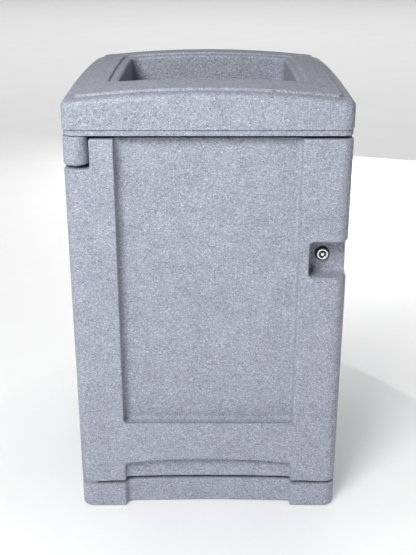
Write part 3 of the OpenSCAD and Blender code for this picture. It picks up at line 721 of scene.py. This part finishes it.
def soft_material(name, light, dark, roughness, scale):
    """Rubber or nylon: a slightly uneven colour and gloss, and a fine moulded grain."""
    material, tree, shader = new_material(name, roughness)
    coords = tree.nodes.new("ShaderNodeTexCoord").outputs["Object"]
    cloud = noise(tree, coords, scale, 4.0, 0.6)
    tree.links.new(ramp(tree, [(0.35, dark), (0.65, light)], cloud), shader.inputs["Base Color"])
    gloss = ramp(tree, [(0.3, grey(roughness * 0.8)), (0.7, grey(min(1.0, roughness * 1.2)))], cloud)
    tree.links.new(gloss, shader.inputs["Roughness"])
    add_bump(tree, shader, [(noise(tree, coords, scale * 8, 2.0), 0.00005)])
    return material


MATERIALS = {
    "granite_plastic": granite_material(),
    "liner_plastic": liner_material(),
    "zinc_steel": metal_material("zinc_steel", (0.62, 0.63, 0.64), (0.46, 0.48, 0.52), 0.32, 400.0),
    "stainless_pin": metal_material("stainless_pin", (0.66, 0.65, 0.64), (0.52, 0.52, 0.52), 0.24,
                                    500.0, (1.0, 1.0, 8.0)),
    "lock_chrome": metal_material("lock_chrome", (0.86, 0.86, 0.87), (0.74, 0.74, 0.76), 0.10, 500.0),
    "black_rubber": soft_material("black_rubber", (0.022, 0.022, 0.024), (0.010, 0.010, 0.012),
                                  0.62, 150.0),
    "nylon": soft_material("nylon", (0.78, 0.75, 0.66), (0.68, 0.64, 0.55), 0.45, 90.0),
    "brass": metal_material("brass", (0.78, 0.60, 0.27), (0.58, 0.42, 0.18), 0.28, 400.0),
}


def dress(obj, slot):
    """Gives an object a slot's material alone."""
    obj.data.materials.clear()
    obj.data.materials.append(MATERIALS[slot])


def place(obj, body, slot, *nodes):
    """Gives a piece its material, body, slot and the CAD nodes that it stands for."""
    dress(obj, slot)
    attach(obj, body)
    if nodes:
        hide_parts(*nodes)


# ------------------------------------------------------------------ hardware

PLUG_R = 8
KEYWAY_R = 7.4
KEYPOST_R = 3.8
KEYWAY_DEPTH = 7
WASHER_FRONT = box_mm("lock_face_washer")[0][1]
BARREL_END = RING_HI[1]
LOCK = [(LOCK_X, LOCK_Z)]
HINGE = [tuple(PIVOT)]
STRIKE_LO, STRIKE_HI = box_mm("strike_plate")
STRIKE_X = (STRIKE_LO[0] + STRIKE_HI[0]) / 2
STRIKE_SCREWS = [(STRIKE_X, LOCK_Z - drop) for drop in (30, 60)]
BUMPERS = [(HALF_W - 7, z) for z in (DOOR_BOTTOM + 90, DOOR_TOP - 70)]
BUMPER_R, BUMPER_STEM_R = 6, 2.5
KEY_PINS = 7
TAIL_HALF = 4    # half the flats of the plug's square tail
CAM_R, CAM_HALF_W = 9, 7
NUT_HALF = 12
THRUST_R = 18
BOLT_R, BOLT_PITCH = 4, 1.25
RUN_FIT = 0.05   # clearance of what turns in a bore or sits on a square
HOLE_FIT = 0.1   # clearance round the lock's barrel and plug


def hexagon(u, v, half_flats):
    """Distance to a hexagon with two flats square to v."""
    a, b = np.abs(u), np.abs(v)
    return np.maximum(b, b / 2 + a * math.sqrt(3) / 2) - half_flats


def thread(u, v, t, r, pitch):
    """Distance to an endless threaded rod."""
    turn = np.arctan2(v, u) / (2 * math.pi)
    flank = np.abs((t / pitch - turn) % 1 - 0.5)
    return np.hypot(u, v) - r + pitch * flank


def ring(outer, inner, edge=0.4):
    """A washer or a bushing."""
    def shape(u, v, t, low, high):
        r = np.hypot(u, v)
        return both(both(r - outer, between(t, low, high), edge), inner - r, edge)
    return shape


def pin(head_low):
    """A hinge pin with its head at one end."""
    def shape(u, v, t, low, high):
        r = np.hypot(u, v)
        head = between(t, low, low + PIN_HEAD_T) if head_low else between(t, high - PIN_HEAD_T, high)
        return either(both(r - PIN_R, between(t, low, high), 1.2), both(r - PIN_HEAD_R, head, 0.9), 0.4)
    return shape


def hex_screw(r, pitch, flats, head_t, head_low):
    """A threaded hexagon screw with its head at one end."""
    def shape(u, v, t, low, high):
        from_head = t - low if head_low else high - t
        head = both(hexagon(u, v, flats / 2), between(from_head, 0, head_t), 0.3)
        head = both(head, np.hypot(u, v) - 0.49 * flats - 1.7 * from_head)
        shank = both(thread(u, v, t, r, pitch), between(t, low, high), 0.5)
        return either(head, shank, 0.3)
    return shape


def cross_screw(r, pitch, head_r, head_t):
    """A pan-head screw with its cross-recessed head on the high side."""
    def shape(u, v, t, low, high):
        from_head = high - t
        head = both(np.hypot(u, v) - head_r, between(from_head, 0, 2 * head_t), 0.6 * head_t)
        head = both(head, from_head - head_t)
        cross = np.minimum(rect(u, v, 0.55 * head_r, 0.6, 0.2), rect(v, u, 0.55 * head_r, 0.6, 0.2))
        head = without(head, both(cross, from_head - 0.55 * head_t), 0.2)
        return either(head, both(thread(u, v, t, r, pitch), between(t, low, high), 0.5), 0.2)
    return shape


def insert_shape(u, v, t, low, high):
    """A knurled brass insert with a groove round its middle and a threaded bore."""
    r, angle = np.hypot(u, v), np.arctan2(v, u)
    knurl = 0.35 * np.abs(np.sin(14 * angle))
    groove = 0.7 * (1 - ease(np.abs(t - (low + high) / 2) - 0.8))
    solid = both(r - INSERT_R + knurl + groove, between(t, low, high), 0.4)
    return without(solid, thread(u, v, t, BOLT_R + RUN_FIT, BOLT_PITCH), 0.2)


def thrust_shape(u, v, t, low, high):
    """The thrust washer, with four grease grooves in its upper face."""
    washer = ring(THRUST_R, PIN_R + RUN_FIT, 0.6)(u, v, t, low, high)
    grooves = both(np.minimum(np.abs(u), np.abs(v)) - 1.2, high - 0.9 - t)
    return without(washer, grooves, 0.4)


def bumper_shape(u, v, t, low, high):
    """A rubber bumper on its stem."""
    r = np.hypot(u, v)
    head = both(r - BUMPER_R, between(t, low, FRAME_Y), 1.5)
    return either(head, both(r - BUMPER_STEM_R, between(t, FRAME_Y - 1, high), 0.8))


def plate(half_u, half_v, hole_r):
    """A flat plate with rounded corners, and a hole if hole_r isn't 0."""
    def shape(u, v, t, low, high):
        solid = both(rect(u, v, half_u, half_v, 3), between(t, low, high), 0.5)
        return both(solid, hole_r - np.hypot(u, v), 0.3) if hole_r else solid
    return shape


def housing_shape(u, v, t, low, high):
    """The lock's ring, its threaded barrel and the bore through both."""
    r = np.hypot(u, v)
    face = both(r - RING_HI[0] + LOCK_X, between(t, low, WASHER_FRONT), 1.6)
    barrel = both(thread(u, v, t, BARREL_R, 1.2), between(t, WASHER_FRONT - 1, high), 0.5)
    return both(either(face, barrel), PLUG_R + HOLE_FIT - r, 0.7)


def nut_shape(u, v, t, low, high):
    """The hexagon nut on the lock's barrel, chamfered on both faces."""
    r = np.hypot(u, v)
    from_face = np.minimum(t - low, high - t)
    solid = both(hexagon(u, v, NUT_HALF), -from_face, 0.3)
    solid = both(solid, r - NUT_HALF - 1.7 * from_face)
    return both(solid, BARREL_R + HOLE_FIT - r, 0.6)


def plug_shape(u, v, t, low, high):
    """The turning plug: its ring-shaped keyway with the key's stop notch, and its square tail."""
    r = np.hypot(u, v)
    body = both(r - PLUG_R, between(t, low, BARREL_END + 0.1), 0.4)
    tail = both(rect(u, v, TAIL_HALF, TAIL_HALF, 0.5), between(t, BARREL_END - 1, high), 0.4)
    solid = either(body, tail)
    keyway = both(both(r - KEYWAY_R, KEYPOST_R - r), t - low - KEYWAY_DEPTH)
    notch = both(rect(u, v - KEYPOST_R, 1.2, 1.5, 0.2), t - low - KEYWAY_DEPTH)
    return without(without(solid, keyway, 0.3), notch, 0.2)


def key_pins_painted_shade_shape(u, v, t, low, high):
    """The floor of the keyway with its seven spring pins, dressed black as painted shade that darkens
    the keyway.
    """
    r, angle = np.hypot(u, v), np.arctan2(v, u)
    share = 2 * math.pi / KEY_PINS
    folded = (angle + share / 2) % share - share / 2
    middle = (KEYWAY_R + KEYPOST_R) / 2
    pins = np.hypot(r * np.cos(folded) - middle, r * np.sin(folded)) - 0.9
    floor = ring(KEYWAY_R - 0.05, KEYPOST_R + 0.05, 0.2)(u, v, t, low + 2.5, low + KEYWAY_DEPTH)
    return either(floor, both(pins, between(t, low + 1.4, low + 4), 0.4), 0.2)


def cam_shape(u, v, t, low, high):
    """The lock's cam: a disc with an arm, and a square hole."""
    reach = box_mm("lock_cam")[1][2] - LOCK_Z
    outline = either(np.hypot(u, v) - CAM_R, rect(u, v - reach / 2, CAM_HALF_W, reach / 2, 2.5), 3)
    solid = both(outline, between(t, low, high), 0.5)
    return without(solid, rect(u, v, TAIL_HALF + RUN_FIT, TAIL_HALF + RUN_FIT, 0.3), 0.2)


def fitted(name, cad_node, body, shape, centres, along=2, step=0.5, slot=None, replaces=True):
    """A piece of hardware in the CAD node's box: shape(u, v, t, low, high) is its field round its
    own axis, with t along the frame's axis number along, and centres are its places across it."""
    lo, hi = box_mm(cad_node)
    across = [i for i in range(3) if i != along]
    first, margin = centres[0], 1.5 * step
    axes = [None] * 3
    for k, i in enumerate(across):
        places = [centre[k] for centre in centres]
        low, high = lo[i] - min(places) + first[k], hi[i] - max(places) + first[k]
        axes[i] = stations(low - margin, high + margin, [], 0, step)
    axes[along] = stations(lo[along] - margin, hi[along] + margin, [], 0, step)

    def field(*xyz):
        u, v = (xyz[i] - middle for i, middle in zip(across, first))
        return shape(u, v, xyz[along], lo[along], hi[along])

    offsets = []
    for centre in centres:
        offset = [0, 0, 0]
        for k, i in enumerate(across):
            offset[i] = centre[k] - first[k]
        offsets.append(offset)
    slots = {part["node"]: part["material_slot"] for part in frame["record"]["subparts"]}
    obj = moulding(name, field, axes, offsets)
    place(obj, body, slot or slots[cad_node], *([cad_node] if replaces else []))


# ------------------------------------------------------------------ the object

granite = "granite_plastic"
place(moulding("cabinet_moulding", cabinet_field, cabinet_axes()), "cabinet", granite, "cabinet_shell")
place(moulding("lid_moulding", lid_field, lid_axes()), "cabinet", granite, "lid_shell")
place(moulding("liner_tub", liner_field, liner_axes()), "cabinet", "liner_plastic", "rigid_liner")
place(moulding("door_moulding", door_field, door_axes()), "door", granite, "door_shell")

fitted("hex_bolts", "lid_bolts", "cabinet",
       hex_screw(r=BOLT_R, pitch=BOLT_PITCH, flats=13, head_t=5.3, head_low=True), BOLTS)
fitted("bolt_washers", "lid_washers", "cabinet", ring(outer=8, inner=4.3, edge=0.3), BOLTS)
fitted("knurled_inserts", "lid_inserts", "cabinet", insert_shape, BOLTS)
fitted("upper_pin", "upper_hinge_pin", "cabinet", pin(False), HINGE, step=0.7)
fitted("lower_pin", "lower_hinge_pin", "cabinet", pin(True), HINGE, step=0.7)
fitted("grooved_thrust_washer", "hinge_thrust_washer", "cabinet", thrust_shape, HINGE)
fitted("rubber_bumpers", "door_bumpers", "cabinet", bumper_shape, BUMPERS, along=1)
fitted("strike_keeper", "strike_plate", "cabinet", plate(half_u=8, half_v=45, hole_r=0),
       [(STRIKE_X, (STRIKE_LO[2] + STRIKE_HI[2]) / 2)], along=1, step=0.8)
fitted("strike_pan_screws", "strike_screws", "cabinet",
       cross_screw(r=2.5, pitch=0.8, head_r=4.5, head_t=3), STRIKE_SCREWS, along=1, step=0.3)
bushing = ring(BUSHING_R - RUN_FIT, PIN_R + RUN_FIT, 0.6)
fitted("upper_bushing", "upper_hinge_bushing", "door", bushing, HINGE)
fitted("lower_bushing", "lower_hinge_bushing", "door", bushing, HINGE)
fitted("backing_plate", "lock_backing_plate", "door",
       plate(half_u=25, half_v=30, hole_r=BARREL_R + HOLE_FIT), LOCK, along=1)
fitted("face_washer", "lock_face_washer", "door",
       ring(outer=15.5, inner=BARREL_R + HOLE_FIT, edge=0.8), LOCK, along=1)
fitted("ring_and_barrel", "lock_housing", "door", housing_shape, LOCK, along=1, step=0.36)
fitted("barrel_nut", "lock_nut", "door", nut_shape, LOCK, along=1)
fitted("keyed_plug", "lock_plug", "lock_core", plug_shape, LOCK, along=1, step=0.3)
# the keyway's floor and pins are dressed in black rubber: painted shade, darker than the keyway's depth
# alone would make it
fitted("key_pins_painted_shade", "lock_plug", "lock_core", key_pins_painted_shade_shape, LOCK, along=1, step=0.3,
       slot="black_rubber", replaces=False)
fitted("cam_lever", "lock_cam", "lock_core", cam_shape, LOCK, along=1)
fitted("cam_screw_washer", "cam_washer", "lock_core",
       ring(outer=6, inner=2.6, edge=0.2), LOCK, along=1, step=0.3)
fitted("cam_hex_screw", "cam_screw", "lock_core",
       hex_screw(r=2.5, pitch=0.8, flats=8, head_t=3.5, head_low=False), LOCK, along=1, step=0.3)

for part in frame["record"]["subparts"]:
    dress(frame["nodes"][part["node"]], part["material_slot"])


# ------------------------------------------------------------------ stage, light and camera

def stage_floor():
    """The pale floor that the receptacle stands on."""
    material, tree, shader = new_material("floor_white", 0.7)
    coords = tree.nodes.new("ShaderNodeTexCoord").outputs["Object"]
    tone = ramp(tree, [(0.3, grey(0.86)), (0.7, grey(0.88))], noise(tree, coords, 3.0))
    tree.links.new(tone, shader.inputs["Base Color"])
    made = bmesh.new()
    bmesh.ops.create_grid(made, x_segments=2, y_segments=2, size=40)
    mesh = bpy.data.meshes.new("floor")
    made.to_mesh(mesh)
    made.free()
    mesh.materials.append(material)
    floor = bpy.data.objects.new("floor", mesh)
    bpy.context.scene.collection.objects.link(floor)
    return floor


def area_light(name, location, target, size, power):
    """A rectangular lamp that shines at target, unseen by the camera."""
    light = bpy.data.lights.new(name, "AREA")
    light.shape = "RECTANGLE"
    light.size, light.size_y = size
    light.energy = power
    lamp = bpy.data.objects.new(name, light)
    lamp.location = location
    lamp.rotation_euler = (Vector(target) - Vector(location)).to_track_quat("-Z", "Y").to_euler()
    lamp.visible_camera = False
    bpy.context.scene.collection.objects.link(lamp)
    return lamp


# the wash brightens only the floor, so that the low parts of the door stay in soft shade
floor_only = bpy.data.collections.new("floor_only")
floor_only.objects.link(stage_floor())
area_light("key", (-0.95, -2.1, 2.3), (0.0, -0.3, 0.85), (1.2, 0.9), 74)
area_light("overhead", (0.0, 9.5, 5.0), (0.0, 9.5, 0.0), (14.0, 12.0), 330)
area_light("back_fill", (0.9, 3.0, 0.6), (0.0, 0.3, 0.45), (1.4, 0.5), 30)
floor_lamp = area_light("floor_wash", (0.0, 0.0, 8.0), (0.0, 0.0, 0.0), (80.0, 80.0), 8200)
floor_lamp.light_linking.receiver_collection = floor_only

world = bpy.data.worlds.new("studio")
world.use_nodes = True
# the sky is pale at the horizon, where it meets the floor, and dim above
sky = world.node_tree
height = sky.nodes.new("ShaderNodeSeparateXYZ")
sky.links.new(sky.nodes.new("ShaderNodeTexCoord").outputs["Generated"], height.inputs[0])
glow = ramp(sky, [(0.0, grey(0.62)), (0.12, grey(0.35)), (0.25, grey(0.085))], height.outputs["Z"])
sky.links.new(glow, sky.nodes["Background"].inputs["Color"])
sky.nodes["Background"].inputs["Strength"].default_value = 1.0
bpy.context.scene.world = world
bpy.context.scene.view_settings.view_transform = "Standard"

# the camera stands in front of the door, a little above the lid, and looks down
SENSOR, LENS = 36.0, 57.3
CAMERA_X, CAMERA_BACK, CAMERA_Z = -0.0004, 1.6912, 1.2272   # metres, back from the front's plane
CAMERA_TILT = math.radians(21.49)   # below the horizon
camera_data = bpy.data.cameras.new("camera")
camera_data.sensor_width = SENSOR
camera_data.lens = LENS
camera = bpy.data.objects.new("camera", camera_data)
camera.location = (CAMERA_X, FRONT * MM - CAMERA_BACK, CAMERA_Z)
camera.rotation_euler = (math.pi / 2 - CAMERA_TILT, 0, 0)
bpy.context.scene.collection.objects.link(camera)
bpy.context.scene.camera = camera
